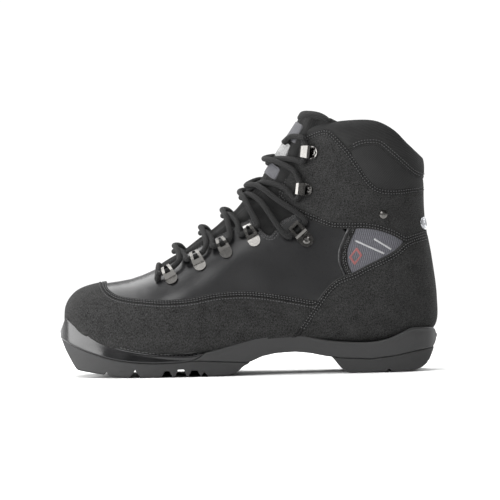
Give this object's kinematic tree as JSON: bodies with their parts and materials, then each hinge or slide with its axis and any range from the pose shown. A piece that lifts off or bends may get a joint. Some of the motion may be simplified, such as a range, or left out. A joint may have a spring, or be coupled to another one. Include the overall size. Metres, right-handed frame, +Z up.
{
  "type": "cross country ski boot",
  "caption": "Left backcountry ski boot with a laced leather upper, a cuff that tilts at the ankle, a toe that bends and a toe bar for the binding.",
  "frame": {"origin": "centre of the boot's footprint, on the ground", "axes": "+X towards the heel, +Y towards the inner (medial) side, +Z up"},
  "size_m": [0.3076, 0.1009, 0.211],
  "materials": {
    "nubuck": "matte nubuck with a short nap",
    "smooth_leather": "smooth black leather, semi-gloss",
    "lining_fabric": "black knitted lining",
    "collar_fabric": "black padded textile",
    "tongue_fabric": "black padded mesh",
    "grey_leather": "grey synthetic leather",
    "silver_print": "plain silver woven label",
    "grey_support_fabric": "dark grey ribbed fabric",
    "board": "pressed fibre board",
    "footbed_fabric": "cloth over foam",
    "stiffener_plastic": "thin moulded sheet",
    "bracket_plastic": "moulded bracket",
    "steel": "stainless",
    "nickel_steel": "bright nickel plate",
    "sole_rubber": "matte moulded rubber",
    "gloss_bumper": "polished rubber",
    "badge": "plain reflective disc",
    "lace_cord": "braided round cord"
  },
  "bodies": {
    "lower": {"side_rand_lateral": "nubuck", "side_rand_medial": "nubuck", "vamp_and_quarters": "smooth_leather", "forefoot_flex_upper": "smooth_leather", "heel_counter": "nubuck", "side_support_lateral": "grey_support_fabric", "side_support_medial": "grey_support_fabric", "ankle_flex_panel": "nubuck", "lining_foot": "lining_fabric", "insole_board": "board", "footbed": "footbed_fabric", "heel_stiffener": "stiffener_plastic", "ball_bumper": "gloss_bumper", "outsole_forefoot": "sole_rubber", "midsole": "sole_rubber", "heel_tread": "sole_rubber", "shank": "steel", "tongue_lower": "tongue_fabric", "tongue_flex": "tongue_fabric", "lace_loop_1_lateral": "nickel_steel", "lace_loop_2_lateral": "nickel_steel", "lace_loop_3_lateral": "nickel_steel", "lace_loop_4_lateral": "nickel_steel", "ankle_lock_lateral": "nickel_steel", "ankle_rivet_lateral": "nickel_steel", "lace_loop_1_medial": "nickel_steel", "lace_loop_2_medial": "nickel_steel", "lace_loop_3_medial": "nickel_steel", "lace_loop_4_medial": "nickel_steel", "ankle_lock_medial": "nickel_steel", "ankle_rivet_medial": "nickel_steel", "lace": "lace_cord"},
    "toe": {"toe_cap": "nubuck", "vamp_toe": "smooth_leather", "lining_toe": "lining_fabric", "insole_board_toe": "board", "footbed_toe": "footbed_fabric", "toe_puff": "stiffener_plastic", "toe_bumper": "gloss_bumper", "outsole_toe": "sole_rubber", "toe_bar_bracket": "bracket_plastic", "toe_bar": "steel"},
    "cuff": {"ankle_panel": "nubuck", "collar": "collar_fabric", "heel_pad": "collar_fabric", "lining_cuff": "lining_fabric", "tongue_upper": "tongue_fabric", "tongue_top_roll": "tongue_fabric", "tongue_patch": "grey_leather", "tongue_label": "silver_print", "tongue_lace_keeper": "grey_leather", "heel_badge": "badge", "speed_hook_1_lateral": "nickel_steel", "speed_hook_2_lateral": "nickel_steel", "speed_hook_1_medial": "nickel_steel", "speed_hook_2_medial": "nickel_steel"}
  },
  "joints": [
    {"name": "toe_flex", "type": "hinge", "parent": "lower", "child": "toe", "pos_m": [-0.08, 0, 0.016], "axis": [0, 1, 0], "range_deg": [0, 20], "stiffness_Nm_per_rad": 12, "deforming": ["forefoot_flex_upper"]},
    {"name": "cuff_flex", "type": "hinge", "parent": "lower", "child": "cuff", "pos_m": [0.1102, 0, 0.1272], "axis": [0, -1, 0], "range_deg": [-4, 10], "stiffness_Nm_per_rad": 10, "deforming": ["ankle_flex_panel", "tongue_flex", "lace"]}
  ]
}
